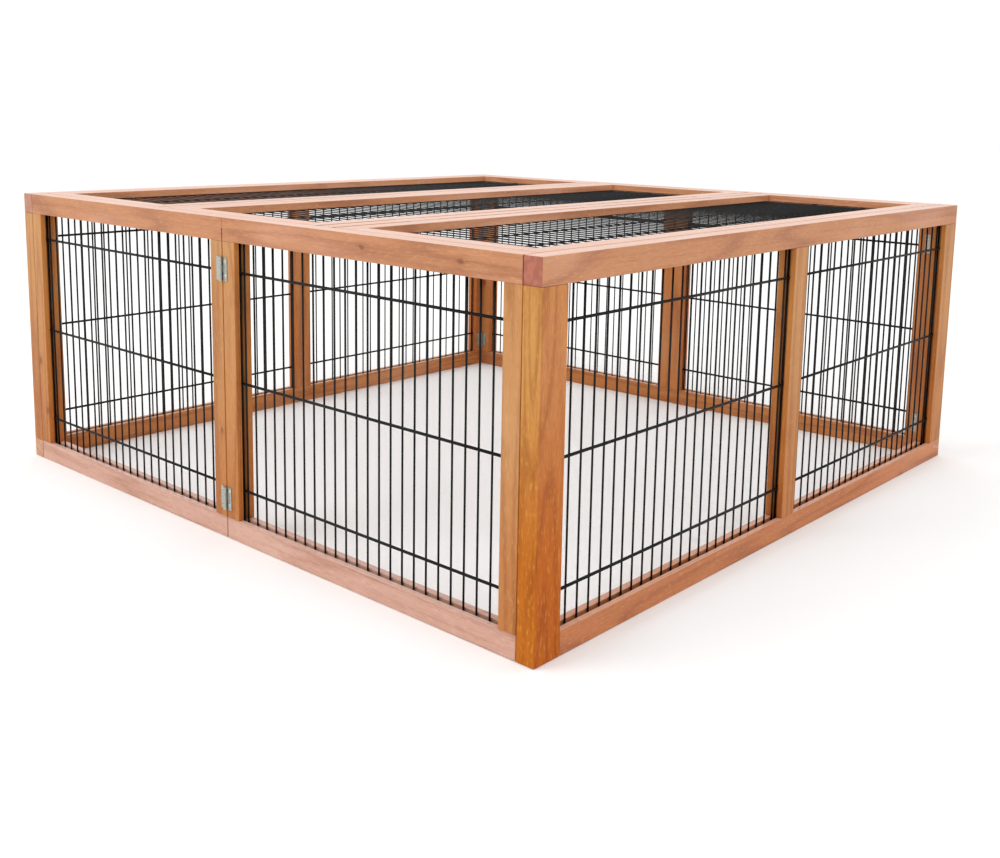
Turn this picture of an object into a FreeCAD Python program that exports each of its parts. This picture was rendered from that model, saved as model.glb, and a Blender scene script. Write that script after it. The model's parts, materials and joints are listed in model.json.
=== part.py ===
import FreeCAD, Part
import os
import re

# Folding pet run, in millimetres: +Z up, origin on the ground at the middle of the run.
# The left and right frames are rigid. The front and rear sides each fold inwards at their middle.
# A lid frame with three flaps drops in between the left and right frames.

SIZES = {
    "run_length": 1200,
    "run_width": 1200,
    "run_height": 480,
    "stock": 28,
    "top_rail_height": 34,
    "foot_rail_height": 32,
    "corner_stile_width": 47,
    "centre_post_width": 38,
    "fold_stile_width": 28,
    "seam_gap": 2,
    "corner_gap": 1,
    "groove_setback": 9,
    "groove_width": 8,
    "groove_depth": 8,
    "mesh_thickness": 3,
    "seat_clearance": 0.3,
    "mesh_border": 2.8,
    "wire_width": 2.8,
    "wire_count": 24,
    "wire_margin": 4,
    "cross_wire_width": 4,
    "cross_wire_spacing": 162,
    "cross_wire_count": 3,
    "lid_thickness": 16,
    "lid_rail_width": 28,
    "lid_ledge_width": 8,
    "lid_ledge_height": 4,
    "cross_bar_offset": 193,
    "cross_bar_width": 28,
    "flap_rail_width": 31,
    "flap_gap": 2,
    "flap_mesh_lap": 14,
    "flap_wire_width": 2,
    "flap_wire_count": 49,
    "flap_long_wire_spacing": 100,
    "flap_long_wire_count": 2,
    "leaf_width": 12.5,
    "leaf_thickness": 1.2,
    "hinge_height": 35,
    "hinge_low_centre": 62,
    "hinge_head_drop": 74,
    "knuckle_radius": 2.8,
    "knuckle_gap": 0.3,
    "knuckle_relief": 0.4,
    "pin_radius": 1.25,
    "pin_clearance": 0.05,
    "knuckle_clearance": 0.5,
    "flap_hinge_length": 50,
    "flap_hinge_spacing": 400,
    "flap_leaf_width": 9,
    "flap_knuckle_radius": 2.4,
    "flap_pin_radius": 1.1,
}

HALF_X = "run_length / 2"
HALF_Y = "run_width / 2"
INNER_X = "(run_length / 2 - stock)"
INNER_Y = "(run_width / 2 - stock)"
RAIL_UNDERSIDE = "(run_height - top_rail_height)"
POST_HEIGHT = f"{RAIL_UNDERSIDE} - foot_rail_height"
LID_UNDERSIDE = "(run_height - lid_thickness)"
FLAP_UNDERSIDE = "(run_height - lid_thickness + lid_ledge_height)"
FLAP_THICKNESS = "(lid_thickness - lid_ledge_height)"
PIN_OFFSET = "(knuckle_radius + knuckle_clearance)"
FLAP_PIN_OFFSET = "(flap_knuckle_radius + knuckle_clearance)"
SEAT = "(groove_depth - seat_clearance)"
FOLD_NEAR = "(seam_gap / 2)"
FOLD_FAR = f"({INNER_X} - corner_gap)"
FOLD_OPEN_NEAR = f"({FOLD_NEAR} + fold_stile_width)"
FOLD_OPEN_FAR = f"({FOLD_FAR} - fold_stile_width)"
SIDE_OPEN_NEAR = "(centre_post_width / 2)"
SIDE_OPEN_FAR = f"({HALF_Y} - corner_stile_width)"
SIDES = {"left": -1, "right": 1}
ENDS = {"front": -1, "rear": 1}
HINGE_CENTRES = ("hinge_low_centre", "(run_height - hinge_head_drop)")
X_AXIS = FreeCAD.Vector(1, 0, 0)
Y_AXIS = FreeCAD.Vector(0, 1, 0)
Z_AXIS = FreeCAD.Vector(0, 0, 1)
CUT_TOLERANCE = 1

doc = FreeCAD.newDocument("PetRun")
sheet = doc.addObject("Spreadsheet::Sheet", "Sheet")
for row, (alias, size) in enumerate(SIZES.items(), start=1):
    sheet.set(f"A{row}", alias)
    sheet.set(f"B{row}", str(size))
    sheet.setAlias(f"B{row}", alias)
doc.recompute()

nodes = []
cut_checks = []


def sized(text):
    """Expression on the sheet's cells, from one written with their bare aliases."""
    return re.sub(r"[a-z][a-z_]*", lambda word: "Sheet." + word.group(), text)


def number(alias):
    """Number in one of the sheet's cells."""
    return float(sheet.get(alias))


def span(sign, near, far):
    """Low end and length of a strip between two distances from the middle, on one side of it."""
    low = f"{near}" if sign > 0 else f"-({far})"
    return low, f"({far}) - ({near})"


def about(centre, sign, near, far):
    """Low end and length of a strip between two distances from a centre, on one side of it."""
    low = f"{centre} + {near}" if sign > 0 else f"{centre} - ({far})"
    return low, f"({far}) - ({near})"


def centred(length):
    """Low end and length of a strip centred on the middle."""
    return f"-({length}) / 2", length


def box(name, x, y, z):
    """Box from a low end and a length along each axis."""
    solid = doc.addObject("Part::Box", name)
    for axis, size_name, (low, length) in zip("xyz", ("Length", "Width", "Height"), (x, y, z)):
        solid.setExpression(size_name, sized(length))
        solid.setExpression(f"Placement.Base.{axis}", sized(low))
    return solid


def rod(name, axis, place, start, length, radius):
    """Cylinder along an axis; place holds its two other coordinates."""
    solid = doc.addObject("Part::Cylinder", name)
    solid.setExpression("Radius", sized(radius))
    solid.setExpression("Height", sized(length))
    if axis == "y":
        solid.Placement.Rotation = FreeCAD.Rotation(X_AXIS, -90)
    for name_of_axis, text in {**place, axis: start}.items():
        solid.setExpression(f"Placement.Base.{name_of_axis}", sized(text))
    return solid


def joined(name, solids):
    """One solid from several that overlap."""
    fuse = doc.addObject("Part::MultiFuse", name)
    fuse.Shapes = solids
    return fuse


def without(name, blank, tools):
    """A blank with each of the tools cut out of it; the tools don't overlap each other."""
    result = blank
    for tool in tools:
        step = doc.addObject("Part::Cut", name)
        step.Base = result
        step.Tool = tool
        result = step
    return result


def node(label, result):
    """Marks an object as a finished sub-part."""
    result.Label = label
    nodes.append(result)
    return result


def timber(label, x, y, z, *grooves):
    """Timber with stopped grooves or notches, each given as a box."""
    blank = box(f"{label}_blank", x, y, z)
    tools = [box(f"{label}_groove", *groove) for groove in grooves]
    result = node(label, without(f"{label}_cut", blank, tools))
    cut_checks.append((result, blank, tools))


def group(label, solids):
    """Several like pieces in one sub-part."""
    compound = doc.addObject("Part::Compound", f"{label}_group")
    compound.Links = solids
    return node(label, compound)


def strips(length, width, first, pitch, count):
    """Solid strips across a wire panel: a border wire at each end and evenly spaced wires between."""
    border = number("mesh_border")
    centres = [first + pitch * index for index in range(count)]
    wires = [(centre - width / 2, centre + width / 2) for centre in centres]
    return [(0, border), *wires, (length - border, length)]


def outline(axes, low, high):
    """Closed rectangle in the plane of two axes."""
    corners = [(low[0], low[1]), (high[0], low[1]), (high[0], high[1]), (low[0], high[1])]
    points = [axes[0] * across + axes[1] * along for across, along in corners]
    return Part.makePolygon([*points, points[0]])


def wire_panel(label, blank, axes, normal, columns, rows):
    """Welded wire panel: one holed face, as thick as the mesh, in the place of its blank."""
    wires = [outline(axes, (0, 0), (columns[-1][1], rows[-1][1]))]
    for (_, left), (right, _) in zip(columns, columns[1:]):
        for (_, low), (high, _) in zip(rows, rows[1:]):
            wires.append(outline(axes, (left, low), (right, high)))
    panel = doc.addObject("Part::Feature", f"{label}_panel")
    panel.Shape = Part.makeFace(wires, "Part::FaceMakerBullseye").extrude(normal * number("mesh_thickness"))
    for axis in "xyz":
        panel.setExpression(f"Placement.Base.{axis}", f"{blank.Name}.Placement.Base.{axis}")
    node(label, panel)


def upright_panel(label, x, y, across):
    """Wire panel of an upright frame, seated in the grooves round its opening."""
    up = (f"foot_rail_height - {SEAT}", f"{POST_HEIGHT} + 2 * {SEAT}")
    blank = box(f"{label}_blank", x, y, up)
    doc.recompute()
    length = blank.Length.Value if across.x else blank.Width.Value
    height = blank.Height.Value
    count = int(number("wire_count"))
    first = number("groove_depth") - number("seat_clearance") + number("wire_margin")
    pitch = (length - 2 * first) / (count - 1)
    columns = strips(length, number("wire_width"), first, pitch, count)
    rise = number("cross_wire_spacing")
    cross_count = int(number("cross_wire_count"))
    lowest = (height - rise * (cross_count - 1)) / 2
    rows = strips(height, number("cross_wire_width"), lowest, rise, cross_count)
    normal = X_AXIS + Y_AXIS - across
    wire_panel(label, blank, (across, Z_AXIS), normal, columns, rows)


def leaf(name, axis, start, length, pin, along, normal, forms, outer):
    """Hinge leaf: a plate on the wood, and its knuckles round the pin.

    pin holds the pin's place on the two axes across it, along and normal the axis and the sign of
    the plate's run and of the wood's side, and forms the pin's distance from the wood, the plate's width,
    the knuckle's radius and the bore's. The outer leaf has the end knuckles, the other the middle.
    """
    offset, width, knuckle, bore = forms
    third = f"({length}) / 3"
    if outer:
        parts = [("0", f"{third} - knuckle_gap / 2"), (f"2 * {third} + knuckle_gap / 2", length)]
    else:
        parts = [(f"{third} + knuckle_gap / 2", f"2 * {third} - knuckle_gap / 2")]
    clear = f"({knuckle} + knuckle_relief)"
    depth = about(pin[normal[0]], normal[1], f"({offset} - leaf_thickness)", offset)

    def plate(label, near, far, low, high):
        place = {
            along[0]: about(pin[along[0]], along[1], near, far),
            normal[0]: depth,
            axis: (f"{start} + {low}", f"({high}) - ({low})"),
        }
        return box(label, place["x"], place["y"], place["z"])

    solids = [plate(f"{name}_plate", clear, width, "0", length)]
    for low, high in parts:
        solids.append(plate(f"{name}_tongue", "0", clear, low, high))
        height = f"({high}) - ({low})"
        solids.append(rod(f"{name}_knuckle", axis, pin, f"{start} + {low}", height, knuckle))
    hole = rod(f"{name}_bore", axis, pin, start, length, bore)
    return without(f"{name}_leaf", joined(f"{name}_body", solids), [hole])


def upright_leaf(name, centre, pin, along, normal, outer):
    """Leaf of a hinge with an upright pin."""
    start = f"{centre} - hinge_height / 2"
    forms = (PIN_OFFSET, "leaf_width", "knuckle_radius", "pin_radius + pin_clearance")
    return leaf(name, "z", start, "hinge_height", pin, along, normal, forms, outer)


def upright_pins(name, pin):
    """Pins of a lower and an upper hinge on one upright axis."""
    starts = [f"{centre} - hinge_height / 2" for centre in HINGE_CENTRES]
    return [rod(f"{name}_pin", "z", pin, start, "hinge_height", "pin_radius") for start in starts]


def side_groove(side):
    """Strip of the groove across a left or right frame's thickness."""
    return span(side, f"({HALF_X} - groove_setback - groove_width)", f"({HALF_X} - groove_setback)")


def end_groove(end):
    """Strip of the groove across a front or rear panel's thickness."""
    return span(end, f"({HALF_Y} - groove_setback - groove_width)", f"({HALF_Y} - groove_setback)")


def corner_pin(side, end):
    """Place of a corner hinge's pin, just off both inner faces."""
    x = f"{side} * ({INNER_X} - {PIN_OFFSET})"
    y = f"{end} * ({INNER_Y} - {PIN_OFFSET})"
    return {"x": x, "y": y}


def middle_pin(end):
    """Place of a middle hinge's pin, just outside the run."""
    return {"x": "0 * seam_gap", "y": f"{end} * ({HALF_Y} + {PIN_OFFSET})"}


UPRIGHT = ("foot_rail_height", POST_HEIGHT)
HEAD_GROOVE = (RAIL_UNDERSIDE, "groove_depth")
FOOT_GROOVE = ("foot_rail_height - groove_depth", "groove_depth")
FOOT = ("0 * run_height", "foot_rail_height")
MESH_OUTER = "(groove_setback + (groove_width - mesh_thickness) / 2)"
MESH_INNER = f"({MESH_OUTER} + mesh_thickness)"
# The one stile that stands on the ground, with the bottom rail butted against it.
GROUND_STILE = ("right", "front")


def side_frame(name, side):
    """Rigid left or right frame: two rails, two corner stiles, a centre post and two wire panels."""
    thick = span(side, INNER_X, HALF_X)
    groove = side_groove(side)
    open_run = centred("(run_width - 2 * (corner_stile_width - groove_depth))")
    head = (RAIL_UNDERSIDE, "top_rail_height")
    timber(f"{name}_top_rail", thick, centred("run_width"), head, (groove, open_run, HEAD_GROOVE))
    rail_end = SIDE_OPEN_FAR if name == GROUND_STILE[0] else HALF_Y
    foot_run = (f"-({rail_end})", f"{rail_end} + {HALF_Y}")
    timber(f"{name}_bottom_rail", thick, foot_run, FOOT, (groove, open_run, FOOT_GROOVE))
    post_grooves = []
    seat_height = ("foot_rail_height - groove_depth", f"{POST_HEIGHT} + groove_depth")
    for end_name, end in ENDS.items():
        stile = span(end, SIDE_OPEN_FAR, HALF_Y)
        stile_groove = (groove, span(end, SIDE_OPEN_FAR, f"({SIDE_OPEN_FAR} + groove_depth)"), seat_height)
        rise = (FOOT[0], RAIL_UNDERSIDE) if (name, end_name) == GROUND_STILE else UPRIGHT
        timber(f"{name}_{end_name}_stile", thick, stile, rise, stile_groove)
        post_groove = span(end, f"({SIDE_OPEN_NEAR} - groove_depth)", SIDE_OPEN_NEAR)
        post_grooves.append((groove, post_groove, UPRIGHT))
    timber(f"{name}_centre_post", thick, centred("centre_post_width"), UPRIGHT, *post_grooves)
    mesh = span(side, f"({HALF_X} - {MESH_INNER})", f"({HALF_X} - {MESH_OUTER})")
    for end_name, end in ENDS.items():
        run = span(end, f"({SIDE_OPEN_NEAR} - {SEAT})", f"({SIDE_OPEN_FAR} + {SEAT})")
        upright_panel(f"{name}_{end_name}_mesh", mesh, run, Y_AXIS)
    leaves = []
    pins = []
    for end in ENDS.values():
        pin = corner_pin(side, end)
        for centre in HINGE_CENTRES:
            leaves.append(upright_leaf(name, centre, pin, ("y", -end), ("x", side), outer=True))
        pins.extend(upright_pins(name, pin))
    group(f"{name}_hinge_leaves", leaves)
    group(f"{name}_hinge_pins", pins)


def fold_panel(end_name, end, side_name, side):
    """Half of the front or rear side: two rails, two stiles, a wire panel and its hinge leaves."""
    name = f"{end_name}_{side_name}"
    thick = span(end, INNER_Y, HALF_Y)
    groove = end_groove(end)
    whole = span(side, FOLD_NEAR, FOLD_FAR)
    open_run = span(side, f"({FOLD_OPEN_NEAR} - groove_depth)", f"({FOLD_OPEN_FAR} + groove_depth)")
    head = (RAIL_UNDERSIDE, "top_rail_height - lid_thickness")
    timber(f"{name}_top_rail", whole, thick, head, (open_run, groove, HEAD_GROOVE))
    timber(f"{name}_bottom_rail", whole, thick, FOOT, (open_run, groove, FOOT_GROOVE))
    corner = span(side, FOLD_OPEN_FAR, FOLD_FAR)
    corner_groove = span(side, FOLD_OPEN_FAR, f"({FOLD_OPEN_FAR} + groove_depth)")
    timber(f"{name}_corner_stile", corner, thick, UPRIGHT, (corner_groove, groove, UPRIGHT))
    middle = span(side, FOLD_NEAR, FOLD_OPEN_NEAR)
    middle_groove = span(side, f"({FOLD_OPEN_NEAR} - groove_depth)", FOLD_OPEN_NEAR)
    timber(f"{name}_middle_stile", middle, thick, UPRIGHT, (middle_groove, groove, UPRIGHT))
    run = span(side, f"({FOLD_OPEN_NEAR} - {SEAT})", f"({FOLD_OPEN_FAR} + {SEAT})")
    mesh = span(end, f"({HALF_Y} - {MESH_INNER})", f"({HALF_Y} - {MESH_OUTER})")
    upright_panel(f"{name}_mesh", run, mesh, X_AXIS)
    leaves = []
    for centre in HINGE_CENTRES:
        pin = corner_pin(side, end)
        leaves.append(upright_leaf(name, centre, pin, ("x", -side), ("y", end), outer=False))
        leaves.append(upright_leaf(name, centre, middle_pin(end), ("x", side), ("y", -end), outer=side < 0))
    group(f"{name}_hinge_leaves", leaves)
    if side < 0:
        group(f"{name}_hinge_pins", upright_pins(name, middle_pin(end)))


BAR_INNER = "(cross_bar_offset - cross_bar_width / 2)"
BAR_OUTER = "(cross_bar_offset + cross_bar_width / 2)"
FLAP_PIN_HEIGHT = "(run_height - flap_knuckle_radius)"
HINGE_GAP = f"(2 * {FLAP_PIN_OFFSET})"
# Each flap: low x, high x, x of its pins, and the side of the pins that its cross bar is on.
LEFT_PIN = f"-{BAR_OUTER} - {FLAP_PIN_OFFSET}"
MIDDLE_PIN = f"{BAR_INNER} - {FLAP_PIN_OFFSET}"
RIGHT_PIN = f"{BAR_OUTER} + {FLAP_PIN_OFFSET}"
FLAPS = {
    "left_flap": (f"-{INNER_X} + flap_gap", f"-{BAR_OUTER} - {HINGE_GAP}", LEFT_PIN, 1),
    "middle_flap": (f"-{BAR_INNER} + flap_gap", f"{BAR_INNER} - {HINGE_GAP}", MIDDLE_PIN, 1),
    "right_flap": (f"{BAR_OUTER} + {HINGE_GAP}", f"{INNER_X} - flap_gap", RIGHT_PIN, -1),
}
FLAP_HINGE_STARTS = [f"{place} * flap_hinge_spacing - flap_hinge_length / 2" for place in (-1, 0, 1)]


def flap_leaves(name, pin_x, wood_side, outer):
    """Three hinge leaves along the edge of a flap or a cross bar."""
    pin = {"x": pin_x, "z": FLAP_PIN_HEIGHT}
    forms = (FLAP_PIN_OFFSET, "flap_leaf_width", "flap_knuckle_radius", "flap_pin_radius + pin_clearance")
    leaves = []
    for start in FLAP_HINGE_STARTS:
        length = "flap_hinge_length"
        leaves.append(leaf(name, "y", start, length, pin, ("z", -1), ("x", wood_side), forms, outer))
    return leaves


def flap_pins(name, pin_x):
    """Three hinge pins along the edge of a cross bar."""
    pin = {"x": pin_x, "z": FLAP_PIN_HEIGHT}
    pins = []
    for start in FLAP_HINGE_STARTS:
        pins.append(rod(f"{name}_pin", "y", pin, start, "flap_hinge_length", "flap_pin_radius"))
    return pins


def lid_frame():
    """Lid frame: two ledged rails on the front and rear panels, and two cross bars lapped over the ledges."""
    thick = (LID_UNDERSIDE, "lid_thickness")
    above_ledge = (FLAP_UNDERSIDE, FLAP_THICKNESS)
    whole = centred(f"2 * {FOLD_FAR}")
    rail_inner = f"({HALF_Y} - lid_rail_width)"
    ledge_inner = f"({rail_inner} - lid_ledge_width)"
    for end_name, end in ENDS.items():
        rebate = (whole, span(end, ledge_inner, rail_inner), above_ledge)
        timber(f"lid_{end_name}_rail", whole, span(end, ledge_inner, HALF_Y), thick, rebate)
    for side_name, side in SIDES.items():
        across = span(side, BAR_INNER, BAR_OUTER)
        laps = []
        for end in ENDS.values():
            laps.append((across, span(end, ledge_inner, rail_inner), (LID_UNDERSIDE, "lid_ledge_height")))
        timber(f"lid_{side_name}_bar", across, centred(f"2 * {rail_inner}"), thick, *laps)
    leaves = []
    pins = []
    for name, (_, _, pin_x, bar_side) in FLAPS.items():
        leaves.extend(flap_leaves(f"{name}_bar", pin_x, bar_side, outer=True))
        pins.extend(flap_pins(name, pin_x))
    group("lid_hinge_leaves", leaves)
    group("lid_hinge_pins", pins)


def flap(name, low, high, pin_x, bar_side):
    """Flap: a frame, a wire panel fixed under it and its hinge leaves."""
    width = f"({high}) - ({low})"
    length = f"2 * ({HALF_Y} - lid_rail_width - flap_gap)"
    hole_x = (f"{low} + flap_rail_width", f"{width} - 2 * flap_rail_width")
    hole_y = centred(f"({length} - 2 * flap_rail_width)")
    thick = (FLAP_UNDERSIDE, FLAP_THICKNESS)
    timber(f"{name}_frame", (low, width), centred(length), thick, (hole_x, hole_y, thick))
    net_x = (f"{hole_x[0]} - flap_mesh_lap", f"{hole_x[1]} + 2 * flap_mesh_lap")
    net_y = (f"{hole_y[0]} - flap_mesh_lap", f"{hole_y[1]} + 2 * flap_mesh_lap")
    net_z = (f"{FLAP_UNDERSIDE} - mesh_thickness", "mesh_thickness")
    blank = box(f"{name}_mesh_blank", net_x, net_y, net_z)
    doc.recompute()
    count = int(number("flap_wire_count"))
    pitch = (blank.Width.Value - 2 * number("flap_mesh_lap")) / (count + 1)
    spacing = number("flap_long_wire_spacing")
    wire = number("flap_wire_width")
    long_count = int(number("flap_long_wire_count"))
    nearest = (blank.Length.Value - spacing * (long_count - 1)) / 2
    columns = strips(blank.Length.Value, wire, nearest, spacing, long_count)
    rows = strips(blank.Width.Value, wire, number("flap_mesh_lap") + pitch, pitch, count)
    wire_panel(f"{name}_mesh", blank, (X_AXIS, Y_AXIS), Z_AXIS, columns, rows)
    group(f"{name}_hinge_leaves", flap_leaves(name, pin_x, -bar_side, outer=False))


for side_label, side_sign in SIDES.items():
    side_frame(side_label, side_sign)
for end_label, end_sign in ENDS.items():
    for side_label, side_sign in SIDES.items():
        fold_panel(end_label, end_sign, side_label, side_sign)
lid_frame()
for flap_label, flap_place in FLAPS.items():
    flap(flap_label, *flap_place)

doc.recompute()

for item in doc.Objects:
    if "Invalid" in item.State or "Error" in item.State:
        raise RuntimeError(f"{item.Label} failed: {item.State}")
for item in nodes:
    if item.Shape.isNull() or not item.Shape.isValid():
        raise RuntimeError(f"{item.Label} has no valid shape")
for item, blank, tools in cut_checks:
    removed = sum(blank.Shape.common(tool.Shape).Volume for tool in tools)
    if abs(blank.Shape.Volume - removed - item.Shape.Volume) > CUT_TOLERANCE:
        raise RuntimeError(f"{item.Label} is cut wrongly")

os.makedirs("parts", exist_ok=True)
for item in nodes:
    item.Shape.exportStep(f"parts/{item.Label}.step")
    print(f"{item.Label}: {len(item.Shape.Solids)} solids, {item.Shape.Volume:.0f} mm3")
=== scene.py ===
"""Dresses the folding pet run: stained timber, round welded wire, zinc hinges, screws and staples."""

import json
import logging
import math
from dataclasses import dataclass, field, replace
from enum import Enum
from typing import Any, Iterable, Optional, Sequence, Union

import bmesh
import bpy
from mathutils import Matrix, Vector

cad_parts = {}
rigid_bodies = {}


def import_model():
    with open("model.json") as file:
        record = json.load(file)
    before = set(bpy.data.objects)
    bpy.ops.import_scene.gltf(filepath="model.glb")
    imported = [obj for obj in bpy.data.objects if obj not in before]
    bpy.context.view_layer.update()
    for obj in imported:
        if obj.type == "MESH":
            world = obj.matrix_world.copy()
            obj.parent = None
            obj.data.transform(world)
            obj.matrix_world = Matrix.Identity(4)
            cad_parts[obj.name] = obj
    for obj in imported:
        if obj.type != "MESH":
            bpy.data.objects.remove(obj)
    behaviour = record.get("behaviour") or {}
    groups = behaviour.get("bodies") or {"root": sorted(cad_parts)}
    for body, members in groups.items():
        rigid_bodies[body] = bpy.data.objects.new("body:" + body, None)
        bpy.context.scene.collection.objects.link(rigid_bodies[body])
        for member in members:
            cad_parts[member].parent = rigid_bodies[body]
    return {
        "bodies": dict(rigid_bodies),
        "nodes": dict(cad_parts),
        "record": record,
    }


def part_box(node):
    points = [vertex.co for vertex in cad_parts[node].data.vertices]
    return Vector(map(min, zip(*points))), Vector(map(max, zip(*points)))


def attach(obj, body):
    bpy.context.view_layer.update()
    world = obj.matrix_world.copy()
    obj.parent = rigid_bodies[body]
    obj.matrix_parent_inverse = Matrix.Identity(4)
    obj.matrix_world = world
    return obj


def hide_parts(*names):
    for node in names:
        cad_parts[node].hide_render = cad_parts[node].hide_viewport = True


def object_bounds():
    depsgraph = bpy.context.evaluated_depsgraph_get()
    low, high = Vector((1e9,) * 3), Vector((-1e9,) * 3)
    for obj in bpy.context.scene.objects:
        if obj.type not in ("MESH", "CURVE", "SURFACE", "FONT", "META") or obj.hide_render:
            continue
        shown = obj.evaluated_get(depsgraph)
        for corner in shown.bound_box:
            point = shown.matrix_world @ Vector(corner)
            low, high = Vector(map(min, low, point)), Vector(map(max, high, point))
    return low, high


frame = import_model()
CAD_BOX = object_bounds()

LOG = logging.getLogger("pet_run")
MM = 0.001
WELD = 0.001 * MM
FLAT = math.radians(1)
SHARP = math.radians(30)
SIDES = {"left": -1, "right": 1}
ENDS = {"front": -1, "rear": 1}
PINS = {joint["name"]: Vector(joint["pos_m"]) for joint in frame["record"]["behaviour"]["joints"]}
UP = Vector((0, 0, 1))
Colour = tuple[float, float, float, float]
Number = Union[float, "Signal"]


class Grain(Enum):
    """Axis along which a timber's grain runs."""

    X = 0
    Y = 1
    Z = 2


class Slot(Enum):
    """Material slots of the record."""

    WOOD = "stained_wood"
    WIRE = "black_wire"
    ZINC = "zinc"


class Signal:
    """A shader socket that takes part in Python arithmetic."""

    def __init__(self, bench: "Bench", socket: bpy.types.NodeSocket) -> None:
        """Wraps a socket of the bench's material."""
        self.bench = bench
        self.socket = socket

    def math(self, operation: str, *operands: Number) -> "Signal":
        """Adds a Math node.

        Args:
            operation: the Math node's operation.
            operands: its inputs in order.

        Returns:
            The node's result.
        """
        values = dict(enumerate(operands))
        return self.bench.node("ShaderNodeMath", {"operation": operation}, values)

    def __add__(self, other: Number) -> "Signal":
        """Sum."""
        return self.math("ADD", self, other)

    def __radd__(self, other: Number) -> "Signal":
        """Sum, reflected."""
        return self.math("ADD", other, self)

    def __sub__(self, other: Number) -> "Signal":
        """Difference."""
        return self.math("SUBTRACT", self, other)

    def __rsub__(self, other: Number) -> "Signal":
        """Difference, reflected."""
        return self.math("SUBTRACT", other, self)

    def __mul__(self, other: Number) -> "Signal":
        """Product."""
        return self.math("MULTIPLY", self, other)

    def __pow__(self, other: Number) -> "Signal":
        """Power."""
        return self.math("POWER", self, other)

    def sine(self) -> "Signal":
        """Sine of the value."""
        return self.math("SINE", self)

    def size(self) -> "Signal":
        """Value without its sign."""
        return self.math("ABSOLUTE", self)

    def step(self, low: float, high: float) -> "Signal":
        """Smooth step from 0 at low to 1 at high.

        Args:
            low: value where the step starts.
            high: value where it ends.

        Returns:
            The stepped value.
        """
        settings = {"interpolation_type": "SMOOTHSTEP"}
        return self.bench.node("ShaderNodeMapRange", settings, {0: self, 1: low, 2: high, 3: 0.0, 4: 1.0})


class Bench:
    """Builds the nodes of one material."""

    def __init__(self, name: str) -> None:
        """Starts a material with only a Principled shader on its output.

        Args:
            name: the material's name.
        """
        self.material = bpy.data.materials.new(name)
        self.material.use_nodes = True
        self.tree = self.material.node_tree
        self.shader = self.tree.nodes["Principled BSDF"]

    def node(self, kind: str, settings: dict[str, Any], inputs: dict[Union[str, int], Any]) -> Signal:
        """Adds any node.

        Args:
            kind: the node's type.
            settings: its properties, set first.
            inputs: its sockets' values or links, by name or number.

        Returns:
            Its first output.
        """
        made = self.tree.nodes.new(kind)
        for key, value in settings.items():
            setattr(made, key, value)
        for key, value in inputs.items():
            if isinstance(value, Signal):
                self.tree.links.new(value.socket, made.inputs[key])
            else:
                made.inputs[key].default_value = value
        return Signal(self, made.outputs[0])

    def output(self, signal: Signal, name: str) -> Signal:
        """Another output of a signal's node, by name."""
        return Signal(self, signal.socket.node.outputs[name])

    def axis(self, vector: Signal, index: int) -> Signal:
        """One coordinate of a vector."""
        parts = self.node("ShaderNodeSeparateXYZ", {}, {0: vector})
        return Signal(self, parts.socket.node.outputs[index])

    def mix(self, factor: Number, low: Any, high: Any, blend: str = "MIX") -> Signal:
        """Mixes two colours.

        Args:
            factor: share of the second colour.
            low: first colour.
            high: second colour.
            blend: the blend type.

        Returns:
            The mixed colour.
        """
        settings = {"data_type": "RGBA", "blend_type": blend, "clamp_factor": True}
        made = self.node("ShaderNodeMix", settings, {0: factor, 6: low, 7: high})
        return Signal(self, made.socket.node.outputs[2])

    def noise(self, vector: Signal, detail: float, roughness: float, distortion: float = 0.0) -> Signal:
        """Noise between 0 and 1, with one cell to a unit of the vector.

        Args:
            vector: the point.
            detail: octaves.
            roughness: share of each finer octave.
            distortion: how far the noise bends itself.

        Returns:
            The noise.
        """
        values = {"Vector": vector, "Scale": 1.0, "Detail": detail, "Roughness": roughness}
        return self.node("ShaderNodeTexNoise", {}, {**values, "Distortion": distortion})

    def place(self, scale: Sequence[float], offset: Sequence[float] = (0.0, 0.0, 0.0)) -> Signal:
        """Object coordinates, scaled and moved.

        Args:
            scale: cells to a metre along each axis.
            offset: move, in cells.

        Returns:
            The mapped point.
        """
        point = self.output(self.node("ShaderNodeTexCoord", {}, {}), "Object")
        return self.node("ShaderNodeMapping", {}, {"Vector": point, "Location": offset, "Scale": scale})

    def feed(self, socket: str, value: Any) -> None:
        """Sets or links one of the shader's own sockets.

        Args:
            socket: the socket's name.
            value: a constant, or the signal to link.
        """
        if isinstance(value, Signal):
            self.tree.links.new(value.socket, self.shader.inputs[socket])
        else:
            self.shader.inputs[socket].default_value = value

    def bump(self, height: Signal, strength: float, depth: float) -> None:
        """Feeds a bump to the shader's normal.

        Args:
            height: the relief between 0 and 1.
            strength: share of the relief that shows.
            depth: height of the relief in metres.
        """
        values = {"Height": height, "Strength": strength, "Distance": depth}
        self.feed("Normal", self.node("ShaderNodeBump", {}, values))


@dataclass(frozen=True)
class Weave:
    """A noise with long cells along the grain, in cells to a metre."""

    across: float
    along: float
    detail: float
    roughness: float
    distortion: float = 0.0


GROWTH = Weave(13.0, 0.9, 2.0, 0.45, 0.25)
STREAK = Weave(210.0, 3.2, 4.0, 0.62)
FIBRE = Weave(1150.0, 26.0, 2.0, 0.5)
BLOTCH = Weave(7.0, 2.4, 3.0, 0.55)
SAWN = Weave(330.0, 85.0, 3.0, 0.6)


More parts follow.
